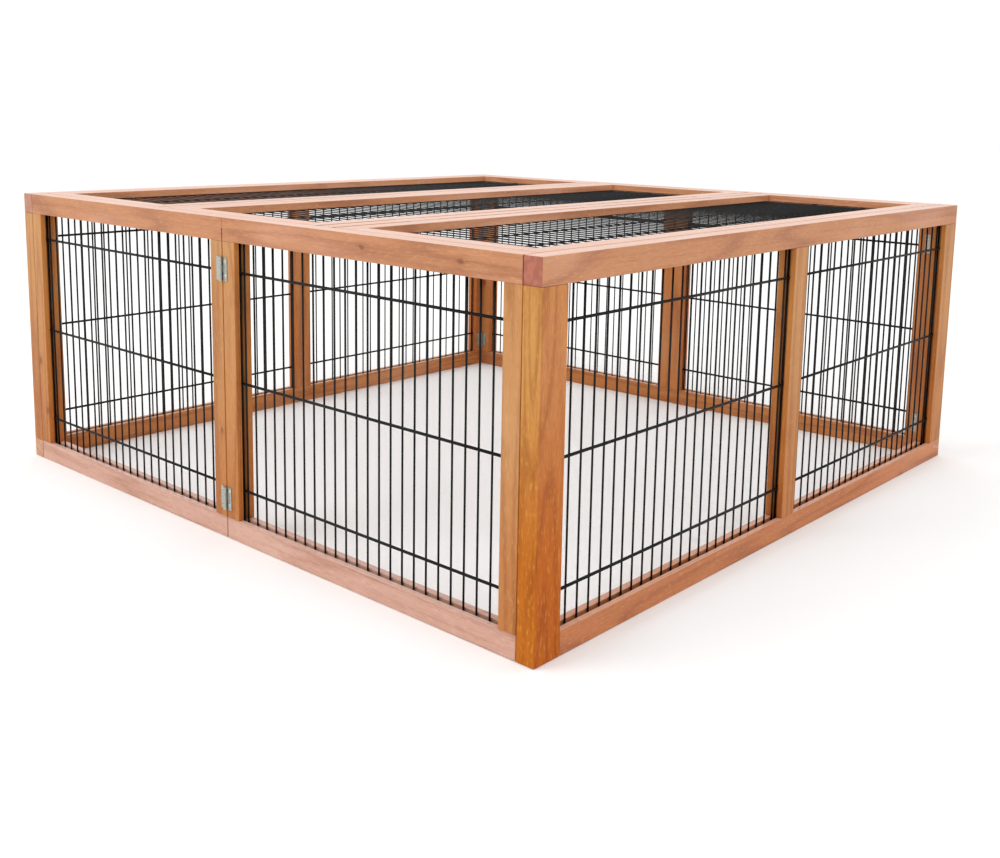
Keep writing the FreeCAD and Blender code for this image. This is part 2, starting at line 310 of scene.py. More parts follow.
@dataclass(frozen=True)
class StainedWood:
    """Softwood under a translucent stain, sawn along a grain axis."""

    name: str
    early: Colour
    late: Colour
    pale: Colour
    seed: float
    # Share of the painted highlight: faces that look up are mixed toward the pale tone, as if lit from above.
    top_highlight: float = 0.0
    top_polish: float = 0.3
    foot: Optional[Colour] = None
    foot_heights: tuple[float, float] = (0.04, 0.34)
    # Tint multiplied into faces that look along x: painted shade on the side turned from the light.
    side_shade: Optional[Colour] = None
    ring_bands: float = 11.0
    ring_power: float = 2.6
    end_bands: float = 38.0
    end_cells: float = 42.0
    knots: bool = True
    knot_cells: tuple[float, float] = (15.0, 8.5)
    flecks: float = 0.26
    fleck: Optional[Colour] = None
    fleck_steps: tuple[float, float] = (0.53, 0.7)
    facing: tuple[float, float] = (0.6, 0.9)
    end_facing: tuple[float, float] = (0.75, 0.92)
    relief: float = 0.35 * MM
    specular: float = 0.3
    coat: float = 0.05
    coat_roughness: float = 0.42
    # Multipliers that make the copy with painted shade deeper and more saturated.
    shade_tint: tuple[float, float, float] = (1.04, 0.84, 0.5)
    dark: Colour = (0.16, 0.048, 0.014, 1.0)
    knot: Colour = (0.11, 0.034, 0.011, 1.0)
    end_early: Colour = (0.42, 0.13, 0.095, 1.0)
    end_late: Colour = (0.24, 0.068, 0.042, 1.0)

    def shade_tinted(self) -> "StainedWood":
        """The same stain, deeper and richer: painted shade for faces that the light doesn't reach.

        Returns:
            The stain with the painted shade.
        """
        early, late, pale = (
            (*(part * tint for part, tint in zip(colour, self.shade_tint)), 1.0)
            for colour in (self.early, self.late, self.pale)
        )
        return replace(self, name=f"{self.name}_sheltered", early=early, late=late, pale=pale)

    @property
    def shift(self) -> tuple[float, float, float]:
        """Start of the stain's noises, which gives each stain a figure of its own."""
        return (self.seed, self.seed * 1.7, self.seed * 2.3)

    def stretched(self, bench: Bench, grain: Grain, across: float, along: float) -> Signal:
        """Point in cells that are long along the grain.

        Args:
            bench: the material's bench.
            grain: the grain axis.
            across: cells to a metre across the grain.
            along: cells to a metre along it.

        Returns:
            The point.
        """
        return bench.place([along if axis == grain.value else across for axis in range(3)], self.shift)

    def woven(self, bench: Bench, grain: Grain, weave: Weave) -> Signal:
        """One of the stain's noises.

        Args:
            bench: the material's bench.
            grain: the grain axis.
            weave: the noise's cells and octaves.

        Returns:
            The noise.
        """
        point = self.stretched(bench, grain, weave.across, weave.along)
        return bench.noise(point, weave.detail, weave.roughness, weave.distortion)

    def knotted(self, bench: Bench, grain: Grain, colour: Signal) -> Signal:
        """Adds a few knots with a darker halo.

        Args:
            bench: the material's bench.
            grain: the grain axis.
            colour: the wood around them.

        Returns:
            The colour with knots.
        """
        point = self.stretched(bench, grain, *self.knot_cells)
        values = {"Vector": point, "Scale": 1.0, "Randomness": 1.0}
        distance = bench.node("ShaderNodeTexVoronoi", {"feature": "F1"}, values)
        colour = bench.mix((1.0 - distance.step(0.07, 0.2)) * 0.4, colour, self.late)
        return bench.mix((1.0 - distance.step(0.045, 0.08)) * 0.6, colour, self.knot)

    def tint_foot_and_fleck(self, bench: Bench, grain: Grain, colour: Signal) -> Signal:
        """Tints the foot, and adds the pale and dark flecks of a sawn face.

        Args:
            bench: the material's bench.
            grain: the grain axis.
            colour: the wood before the tint and the flecks.

        Returns:
            The colour with the foot tint and the flecks.
        """
        if self.foot:
            # Deeper, more saturated tint towards the bottom of the timber.
            height = bench.axis(bench.place((1.0, 1.0, 1.0)), Grain.Z.value)
            colour = bench.mix(1.0 - height.step(*self.foot_heights), colour, self.foot, "MULTIPLY")
        sawn = self.woven(bench, grain, SAWN)
        colour = bench.mix(sawn.step(*self.fleck_steps) * self.flecks, colour, self.fleck or self.pale)
        return bench.mix((1.0 - sawn).step(*self.fleck_steps) * (self.flecks * 0.5), colour, self.dark)

    def end_grain(self, bench: Bench, fibre: Signal) -> Signal:
        """Colour of the sawn ends, with their own rings.

        Args:
            bench: the material's bench.
            fibre: the fine fibre noise.

        Returns:
            The colour.
        """
        growth = bench.noise(bench.place([self.end_cells] * 3, self.shift), 1.0, 0.4)
        rings = (growth * self.end_bands).sine() * 0.5 + 0.5
        return bench.mix(rings * 0.55 + fibre * 0.3, self.end_early, self.end_late)

    def material(self, grain: Grain) -> bpy.types.Material:
        """Builds the material.

        Args:
            grain: the grain axis.

        Returns:
            The material.
        """
        bench = Bench(f"{self.name}_{grain.name.lower()}")
        growth, streak, fibre, blotch = (
            self.woven(bench, grain, weave) for weave in (GROWTH, STREAK, FIBRE, BLOTCH)
        )
        rings = (growth * (self.ring_bands * 2.0 * math.pi)).sine() * 0.5 + 0.5
        late_wood = rings ** self.ring_power
        colour = bench.mix(late_wood * 0.62 + streak * 0.25, self.early, self.late)
        colour = bench.mix(blotch.step(0.46, 0.72) * 0.42, colour, self.pale)
        colour = bench.mix(streak.step(0.56, 0.8) * 0.5, colour, self.dark)
        colour = bench.mix(fibre.step(0.58, 0.75) * 0.3, colour, self.dark)
        if self.knots:
            colour = self.knotted(bench, grain, colour)
        colour = self.tint_foot_and_fleck(bench, grain, colour)
        roughness = 0.5 + streak * 0.2 - late_wood * 0.07
        normal = bench.output(bench.node("ShaderNodeTexCoord", {}, {}), "Normal")
        if self.side_shade:
            # Painted shade: faces that look along x are multiplied by a deeper tint.
            sideways = bench.axis(normal, Grain.X.value).size().step(*self.facing)
            colour = bench.mix(sideways, colour, self.side_shade, "MULTIPLY")
        if self.top_highlight:
            # Painted highlight: faces that look up are mixed toward the pale tone, as if lit from above;
            # their roughness is lowered too.
            upward = bench.axis(normal, Grain.Z.value).step(*self.facing)
            colour = bench.mix(upward * (blotch * 0.5 + 0.7) * self.top_highlight, colour, self.pale)
            roughness = roughness - upward * self.top_polish
        end = bench.axis(normal, grain.value).size().step(*self.end_facing)
        bench.feed("Base Color", bench.mix(end * 0.85, colour, self.end_grain(bench, fibre)))
        bench.feed("Roughness", roughness + end * 0.14)
        bench.bump(late_wood * 0.35 + streak * 0.4 + fibre * 0.5, 0.45, self.relief)
        bench.feed("Specular IOR Level", self.specular)
        bench.feed("Coat Weight", self.coat)
        bench.feed("Coat Roughness", self.coat_roughness)
        return bench.material


@dataclass(frozen=True)
class BlackWire:
    """Welded wire with a thin black plastic coat."""

    name: str = "black_coated_wire"
    deep: Colour = (0.0016, 0.0016, 0.0018, 1.0)
    dusty: Colour = (0.008, 0.0078, 0.0075, 1.0)
    patch_cells: float = 16.0
    speck_cells: float = 900.0
    relief: float = 0.08 * MM
    specular: float = 0.2

    def material(self) -> bpy.types.Material:
        """Builds the material.

        Returns:
            The material.
        """
        bench = Bench(self.name)
        patch = bench.noise(bench.place([self.patch_cells] * 3), 4.0, 0.6)
        speck = bench.noise(bench.place([self.speck_cells] * 3), 2.0, 0.5)
        bench.feed("Base Color", bench.mix(patch.step(0.42, 0.7) * 0.8 + speck * 0.15, self.deep, self.dusty))
        bench.feed("Roughness", 0.4 + patch * 0.2 + speck * 0.08)
        bench.bump(speck, 0.25, self.relief)
        bench.feed("Specular IOR Level", self.specular)
        return bench.material


@dataclass(frozen=True)
class Zinc:
    """Zinc-plated steel with a faint crystal spangle."""

    name: str
    light: Colour
    grey: Colour
    tint: Colour
    roughness: float
    crystal_cells: float = 520.0
    cloud_cells: float = 70.0
    scratch_cells: tuple[float, float, float] = (2200.0, 2200.0, 90.0)
    relief: float = 0.05 * MM

    def material(self) -> bpy.types.Material:
        """Builds the material.

        Returns:
            The material.
        """
        bench = Bench(self.name)
        values = {"Vector": bench.place([self.crystal_cells] * 3), "Scale": 1.0, "Randomness": 1.0}
        crystal = bench.node("ShaderNodeTexVoronoi", {"feature": "F1"}, values)
        shade = bench.axis(bench.output(crystal, "Color"), 0)
        cloud = bench.noise(bench.place([self.cloud_cells] * 3), 4.0, 0.6)
        scratch = bench.noise(bench.place(self.scratch_cells), 2.0, 0.5)
        colour = bench.mix(shade * 0.5 + cloud * 0.3, self.light, self.grey)
        bench.feed("Base Color", bench.mix(cloud.step(0.5, 0.75) * 0.35, colour, self.tint))
        bench.feed("Roughness", self.roughness + shade * 0.1 + cloud * 0.12)
        bench.feed("Metallic", 0.94 - cloud.step(0.55, 0.8) * 0.3)
        bench.bump(scratch * 0.6 + shade * 0.4, 0.2, self.relief)
        return bench.material


@dataclass(frozen=True)
class PaleFloor:
    """Plain pale studio floor."""

    name: str = "pale_floor"
    colour: Colour = (0.94, 0.94, 0.938, 1.0)
    roughness: float = 0.85
    specular: float = 0.15

    def material(self) -> bpy.types.Material:
        """Builds the material.

        Returns:
            The material.
        """
        bench = Bench(self.name)
        bench.feed("Base Color", self.colour)
        bench.feed("Roughness", self.roughness)
        bench.feed("Specular IOR Level", self.specular)
        return bench.material


TAN = StainedWood(
    "tan_stain", (0.5, 0.232, 0.076, 1), (0.33, 0.122, 0.033, 1), (0.57, 0.33, 0.155, 1), 3.1,
    foot=(0.93, 0.74, 0.5, 1),
)
# The amber stain carries painted shade on its faces that look along x.
AMBER = StainedWood(
    "amber_stain", (0.53, 0.258, 0.072, 1), (0.36, 0.145, 0.032, 1), (0.57, 0.29, 0.12, 1), 11.7,
    foot=(0.86, 0.48, 0.05, 1), foot_heights=(0.09, 0.4), side_shade=(0.95, 0.8, 1.0, 1), knots=False,
    flecks=0.4, fleck=(0.62, 0.33, 0.055, 1), specular=0.12,
)
# The russet stain, its worn copy, and the blush and deep stains carry a painted highlight on faces that look
# up.
RUSSET = StainedWood(
    "russet_stain", (0.485, 0.213, 0.098, 1), (0.325, 0.12, 0.053, 1), (0.72, 0.4, 0.28, 1), 23.9,
    top_highlight=0.75, foot=(1.0, 0.8, 0.62, 1), fleck=(0.66, 0.36, 0.17, 1),
)
FADED_ENDS = {"end_early": (0.57, 0.34, 0.225, 1), "end_late": (0.42, 0.22, 0.13, 1)}
WORN_RUSSET = replace(
    RUSSET, name="worn_russet_stain", end_early=(0.49, 0.245, 0.165, 1), end_late=(0.34, 0.155, 0.1, 1)
)
BLUSH = StainedWood(
    "blush_stain", (0.57, 0.328, 0.25, 1), (0.43, 0.21, 0.138, 1), (0.72, 0.47, 0.39, 1), 37.3,
    top_highlight=0.6, **FADED_ENDS,
)
DEEP = StainedWood(
    "deep_stain", (0.5, 0.18, 0.045, 1), (0.33, 0.098, 0.022, 1), (0.62, 0.32, 0.18, 1), 51.9,
    top_highlight=0.45, **FADED_ENDS,
)
HINGE_ZINC = Zinc("hinge_zinc", (0.5, 0.515, 0.475, 1), (0.29, 0.31, 0.295, 1), (0.42, 0.4, 0.31, 1), 0.3)
SCREW_ZINC = Zinc("screw_zinc", (0.74, 0.72, 0.62, 1), (0.5, 0.48, 0.4, 1), (0.66, 0.58, 0.36, 1), 0.28)
# Near-black painted shade for the screws' cross recess, put on a raised bar.
RECESS_SHADE = Zinc("recess_shade", (0.09, 0.085, 0.07, 1), (0.04, 0.04, 0.035, 1), (0.07, 0.06, 0.04, 1), 0.55)


class Paints:
    """Finished materials, each built once."""

    def __init__(self) -> None:
        """Starts with the finishes that have no grain."""
        self.woods: dict[tuple[str, Grain], bpy.types.Material] = {}
        self.wire = BlackWire().material()
        self.hinge = HINGE_ZINC.material()
        self.screw = SCREW_ZINC.material()
        self.recess = RECESS_SHADE.material()
        self.floor = PaleFloor().material()

    def wood(self, finish: StainedWood, grain: Grain) -> bpy.types.Material:
        """Material of a stain along a grain axis.

        Args:
            finish: the stain.
            grain: the grain axis.

        Returns:
            The material, built at its first use.
        """
        key = (finish.name, grain)
        if key not in self.woods:
            self.woods[key] = finish.material(grain)
        return self.woods[key]


def piece(
    name: str,
    mesh: bmesh.types.BMesh,
    materials: Sequence[bpy.types.Material],
    body: str,
    stands_for: Iterable[str] = (),
) -> bpy.types.Object:
    """Makes a finished piece from a bmesh and puts it on its body.

    Args:
        name: the piece's name.
        mesh: its shape, freed here.
        materials: its materials in the order of the faces' numbers.
        body: the body it moves with.
        stands_for: solids that it is shown in place of.

    Returns:
        The piece.
    """
    data = bpy.data.meshes.new(name)
    mesh.to_mesh(data)
    mesh.free()
    for material in materials:
        data.materials.append(material)
    made = bpy.data.objects.new(name, data)
    bpy.context.scene.collection.objects.link(made)
    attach(made, body)
    if stands_for:
        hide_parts(*stands_for)
    LOG.info("%s: %d faces on %s", name, len(data.polygons), body)
    return made


def ease_edges(mesh: bmesh.types.BMesh, edges: Iterable[bmesh.types.BMEdge], width: float) -> None:
    """Rounds the sharp ones among some edges.

    Args:
        mesh: the shape.
        edges: the edges to look at.
        width: width of the rounding in metres.
    """
    sharp = [edge for edge in edges if edge.is_manifold and edge.calc_face_angle(0.0) > SHARP]
    bmesh.ops.bevel(
        mesh, geom=sharp, offset=width, offset_type="OFFSET", affect="EDGES", segments=2, profile=0.5,
        material=-1, clamp_overlap=True,
    )


def add_block(mesh: bmesh.types.BMesh, low: Vector, high: Vector, ease: float, material: int = 0) -> None:
    """Adds a block with eased edges.

    Args:
        mesh: the shape to add to.
        low: its lowest corner.
        high: its highest corner.
        ease: width of the rounding of its edges.
        material: number of its material.
    """
    size = high - low
    place = Matrix.Translation((low + high) / 2) @ Matrix.Diagonal((*size, 1.0))
    verts = bmesh.ops.create_cube(mesh, size=1.0, matrix=place)["verts"]
    faces = {face for vert in verts for face in vert.link_faces}
    for face in faces:
        face.material_index = material
    ease_edges(mesh, {edge for face in faces for edge in face.edges}, ease)


def add_rod(mesh: bmesh.types.BMesh, start: Vector, end: Vector, radius: float, sides: int = 10) -> None:
    """Adds a smooth round rod.

    Args:
        mesh: the shape to add to.
        start: middle of its first end.
        end: middle of its other end.
        radius: its radius.
        sides: number of its flats.
    """
    run = end - start
    turn = UP.rotation_difference(run.normalized()).to_matrix().to_4x4()
    place = Matrix.Translation((start + end) / 2) @ turn
    verts = bmesh.ops.create_cone(
        mesh, cap_ends=True, segments=sides, radius1=radius, radius2=radius, depth=run.length, matrix=place
    )["verts"]
    for face in {face for vert in verts for face in vert.link_faces}:
        face.smooth = len(face.verts) == 4


@dataclass
class Timber:
    """A rail, stile, post or bar: a copy of its solid with eased edges."""

    node: str
    body: str
    finish: StainedWood
    run: Optional[Grain] = None
    ease: float = 1.1 * MM
    outer_skin: float = 20.0 * MM
    facing: float = 0.9
    spliced: bool = False
    splice_gap: float = 0.15 * MM

    def blank(self, mesh: bmesh.types.BMesh, half: int) -> None:
        """Adds the timber, or one half of it, with its edges eased.

        Args:
            mesh: the shape to add to.
            half: sign of the half along x, or 0 for the whole timber.
        """
        mesh.from_mesh(frame["nodes"][self.node].data)
        bmesh.ops.remove_doubles(mesh, verts=mesh.verts, dist=WELD)
        bmesh.ops.dissolve_limit(
            mesh, angle_limit=FLAT, verts=mesh.verts, edges=mesh.edges, use_dissolve_boundaries=False
        )
        if half:
            bmesh.ops.bisect_plane(
                mesh, geom=[*mesh.verts, *mesh.edges, *mesh.faces], plane_co=(half * self.splice_gap, 0, 0),
                plane_no=(half, 0, 0), clear_inner=True,
            )
            bmesh.ops.holes_fill(mesh, edges=[edge for edge in mesh.edges if edge.is_boundary], sides=0)
        ease_edges(mesh, mesh.edges, self.ease)

    def build(self, paints: Paints) -> bpy.types.Object:
        """Builds the timber.

        Args:
            paints: the finished materials.

        Returns:
            The piece.
        """
        mesh = bmesh.new()
        if self.spliced:
            for half in (-1, 1):
                part = bmesh.new()
                self.blank(part, half)
                data = bpy.data.meshes.new("half")
                part.to_mesh(data)
                part.free()
                mesh.from_mesh(data)
                bpy.data.meshes.remove(data)
        else:
            self.blank(mesh, 0)
        low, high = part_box(self.node)
        extents = list(high - low)
        grain = Grain(extents.index(max(extents)))
        woods = [paints.wood(self.finish, grain)]
        upright = self.run is not None and grain is Grain.Z
        # Uprights get a second, deeper copy of their stain: painted shade on the faces that look along the
        # panel's run.
        if upright:
            woods.append(paints.wood(self.finish.shade_tinted(), grain))
        for face in mesh.faces:
            face.material_index = int(upright and self.is_shade_tinted(face))
            face.smooth = False
        return piece(f"{self.node}_timber", mesh, woods, self.body, [self.node])

    def is_shade_tinted(self, face: bmesh.types.BMFace) -> bool:
        """Whether a face looks along the panel's run, inside the run's outer skin, and so gets the painted
        shade.

        Args:
            face: a face of the timber.

        Returns:
            True for a face that gets the painted shade.
        """
        axis = self.run.value
        reach = CAD_BOX[1][axis] - self.outer_skin
        return abs(face.normal[axis]) > self.facing and abs(face.calc_center_median()[axis]) < reach


@dataclass
class WirePanel:
    """Upright welded panel: thin upright wires behind three thicker level ones."""

    node: str
    body: str
    outward: Vector
    seat: float = 7.7 * MM
    margin: float = 4.0 * MM
    uprights: int = 24
    upright_radius: float = 1.4 * MM
    level_radius: float = 2.0 * MM
    level_spacing: float = 162.0 * MM
    upright_depth: float = 1.85 * MM
    level_depth: float = 1.5 * MM

    def build(self, paints: Paints) -> bpy.types.Object:
        """Builds the panel.

        Args:
            paints: the finished materials.

        Returns:
            The piece.
        """
        low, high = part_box(self.node)
        middle = (low + high) / 2
        across = Vector((abs(self.outward.y), abs(self.outward.x), 0))
        half = (high - low).dot(across) / 2
        half_height = (high.z - low.z) / 2
        back = middle - self.outward * self.upright_depth
        front = middle + self.outward * self.level_depth
        mesh = bmesh.new()
        reach = half - self.seat - self.margin
        offsets = [reach * (2 * index / (self.uprights - 1) - 1) for index in range(self.uprights)]
        offsets += [-half + self.upright_radius, half - self.upright_radius]
        rise = UP * half_height
        for offset in offsets:
            centre = back + across * offset
            add_rod(mesh, centre - rise, centre + rise, self.upright_radius)
        edge = half_height - self.level_radius
        for level in (-edge, -self.level_spacing, 0.0, self.level_spacing, edge):
            centre = front + UP * level
            add_rod(mesh, centre - across * half, centre + across * half, self.level_radius)
        return piece(f"{self.node}_wires", mesh, [paints.wire], self.body, [self.node])


@dataclass
class Flap:
    """Lid flap: a frame of four rails with a stapled wire net under it."""

    name: str
    finish: StainedWood
    rail_width: float = 31.0 * MM
    ease: float = 1.1 * MM
    lap: float = 14.0 * MM
    wires: int = 49
    long_spacing: float = 100.0 * MM
    wire_radius: float = 1.0 * MM
    wire_sides: int = 8
    long_staples: int = 12
    short_staples: int = 4
    staple_size: Vector = field(default_factory=lambda: Vector((1.2 * MM, 9.0 * MM, 0.6 * MM)))
    staple_ease: float = 0.1 * MM

    def build(self, paints: Paints) -> list[bpy.types.Object]:
        """Builds the flap's pieces.

        Args:
            paints: the finished materials.

        Returns:
            The frame, the net and the staples.
        """
        return [self.rails(paints), self.net(paints), self.staples(paints)]

    def rails(self, paints: Paints) -> bpy.types.Object:
        """Builds the frame: two long rails with two short ones butted between them.

        Args:
            paints: the finished materials.

        Returns:
            The piece.
        """
        node = f"{self.name}_frame"
        low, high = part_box(node)
        width = self.rail_width
        mesh = bmesh.new()
        for left in (low.x, high.x - width):
            start = Vector((left, low.y, low.z))
            add_block(mesh, start, Vector((left + width, high.y, high.z)), self.ease, 0)
        for near in (low.y, high.y - width):
            start = Vector((low.x + width, near, low.z))
            add_block(mesh, start, Vector((high.x - width, near + width, high.z)), self.ease, 1)
        woods = [paints.wood(self.finish, Grain.Y), paints.wood(self.finish, Grain.X)]
        return piece(f"{node}_rails", mesh, woods, self.name, [node])

    def net(self, paints: Paints) -> bpy.types.Object:
        """Builds the net: close cross wires over a few long ones.

        Args:
            paints: the finished materials.

        Returns:
            The piece.
        """
        node = f"{self.name}_mesh"
        low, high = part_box(node)
        mesh = bmesh.new()
        radius, sides = self.wire_radius, self.wire_sides
        pitch = (high.y - low.y - 2 * self.lap) / (self.wires + 1)
        top = high.z - radius
        rows = [low.y + self.lap + pitch * (index + 1) for index in range(self.wires)]
        for row in [low.y + radius, *rows, high.y - radius]:
            add_rod(mesh, Vector((low.x, row, top)), Vector((high.x, row, top)), radius, sides)
        centre = (low.x + high.x) / 2
        under = low.z + radius
        columns = [centre - self.long_spacing / 2, centre + self.long_spacing / 2]
        for column in [low.x + radius, *columns, high.x - radius]:
            add_rod(mesh, Vector((column, low.y, under)), Vector((column, high.y, under)), radius, sides)
        return piece(f"{node}_wires", mesh, [paints.wire], self.name, [node])

    def staples(self, paints: Paints) -> bpy.types.Object:
        """Builds the staples that hold the net's edge wires to the rails.

        Args:
            paints: the finished materials.

        Returns:
            The piece.
        """
        low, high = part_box(f"{self.name}_mesh")
        mesh = bmesh.new()
        for index in range(self.long_staples):
            row = low.y + (high.y - low.y) * (index + 0.5) / self.long_staples
            for column in (low.x + self.wire_radius, high.x - self.wire_radius):
                self.add_staple(mesh, Vector((column, row, low.z)), turned=True)
        for index in range(self.short_staples):
            column = low.x + (high.x - low.x) * (index + 0.5) / self.short_staples
            for row in (low.y + self.wire_radius, high.y - self.wire_radius):
                self.add_staple(mesh, Vector((column, row, high.z - 2 * self.wire_radius)), turned=False)
        return piece(f"{self.name}_staples", mesh, [paints.hinge], self.name)

    def add_staple(self, mesh: bmesh.types.BMesh, under: Vector, turned: bool) -> None:
        """Adds one staple: a crown under the wire and a leg up to the rail on each side of it.

        Args:
            mesh: the shape to add to.
            under: lowest point of the wire.
            turned: whether the wire runs along y.
        """
        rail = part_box(f"{self.name}_frame")[0].z
        thick, width, drop = self.staple_size
        half = Vector((width / 2, thick / 2, 0)) if turned else Vector((thick / 2, width / 2, 0))
        add_block(mesh, under - half - UP * drop, under + half, self.staple_ease)
        inner = Vector((width / 2 - drop, 0, 0)) if turned else Vector((0, width / 2 - drop, 0))
        wide = Vector((drop / 2, thick / 2, 0)) if turned else Vector((thick / 2, drop / 2, 0))
        for side in (-1, 1):
            foot = under + inner * side
            top = Vector((foot.x, foot.y, rail))
            add_block(mesh, foot - wide, top + wide, self.staple_ease)


@dataclass
class Screw:
    """Countersunk cross-head screw, seen by its head."""

    at: Vector
    out: Vector
    radius: float = 2.6 * MM
    dome: float = 0.5 * MM
    sides: int = 16
    rim_share: float = 0.72
    cross_share: tuple[float, float] = (1.05, 0.24)
    cross_rise: float = 0.06 * MM

    def add(self, mesh: bmesh.types.BMesh) -> None:
        """Adds the head and the cross in it.

        Args:
            mesh: the shape to add to.
        """
        turn = UP.rotation_difference(self.out).to_matrix().to_4x4()
        place = Matrix.Translation(self.at) @ turn
        rim = self.radius * self.rim_share
        middle = Matrix.Translation(UP * self.dome / 2)
        bmesh.ops.create_cone(
            mesh, cap_ends=True, segments=self.sides, radius1=self.radius, radius2=rim, depth=self.dome,
            matrix=place @ middle,
        )
        # The cross is a thin raised bar in near-black: painted shade standing in for the recess.
        for angle in (0.0, math.pi / 2):
            arm = Matrix.Translation(UP * self.dome) @ Matrix.Rotation(angle, 4, "Z")
            length, width = (self.radius * share for share in self.cross_share)
            shape = Matrix.Diagonal((length, width, self.cross_rise, 1))
            bar = bmesh.ops.create_cube(mesh, size=1.0, matrix=place @ arm @ shape)["verts"]
            for face in {face for vert in bar for face in vert.link_faces}:
                face.material_index = 1


@dataclass
class ScrewSet:
    """All the screws of one body."""

    body: str
    screws: list[Screw] = field(default_factory=list)

    def build(self, paints: Paints) -> bpy.types.Object:
        """Builds the screws as one piece.

        Args:
            paints: the finished materials.

        Returns:
            The piece.
        """
        mesh = bmesh.new()
        for screw in self.screws:
            screw.add(mesh)
        return piece(f"{self.body}_screws", mesh, [paints.screw, paints.recess], self.body)


@dataclass
class Hinges:
    """Screws of the hinges, placed from the pins and the leaves' own sizes."""

    leaf_thickness: float = 1.2 * MM
    height: float = 35.0 * MM
    pin_to_wood: float = 3.3 * MM
    screw_run: float = 7.9 * MM
    spread: float = 10.5 * MM
    flap_length: float = 50.0 * MM
    flap_pin_to_wood: float = 2.9 * MM
    flap_drop: float = 5.9 * MM
    flap_spread: float = 17.0 * MM
    flap_head: float = 1.7 * MM
    flap_dome: float = 0.3 * MM

    def upright(self, pin: Vector, along: Vector, wood: Vector) -> list[Screw]:
        """Screws of the two leaves on one side of an upright pin.

        Args:
            pin: place of the pin.
            along: direction of the leaf away from the pin.
            wood: direction from the pin to the wood.

        Returns:
            Two screws for each leaf.
        """
        face = pin + along * self.screw_run + wood * (self.pin_to_wood - self.leaf_thickness)
        low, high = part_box("left_hinge_pins")
        screws = []
        for centre in (low.z + self.height / 2, high.z - self.height / 2):
            for rise in (-self.spread, self.spread):
                screws.append(Screw(Vector((face.x, face.y, centre + rise)), -wood))
        return screws

    def flap(self, pin: Vector, wood: Vector) -> list[Screw]:
        """Screws of the three leaves along the edge of a flap or a bar.

        Args:
            pin: place of the middle pin.
            wood: direction from the pins to the wood.

        Returns:
            Two screws for each leaf.
        """
        face = pin + wood * (self.flap_pin_to_wood - self.leaf_thickness) - UP * self.flap_drop
        low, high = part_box("lid_hinge_pins")
        screws = []
        for centre in (low.y + self.flap_length / 2, pin.y, high.y - self.flap_length / 2):
            for run in (-self.flap_spread, self.flap_spread):
                at = Vector((face.x, centre + run, face.z))
                screws.append(Screw(at, -wood, self.flap_head, self.flap_dome))
        return screws


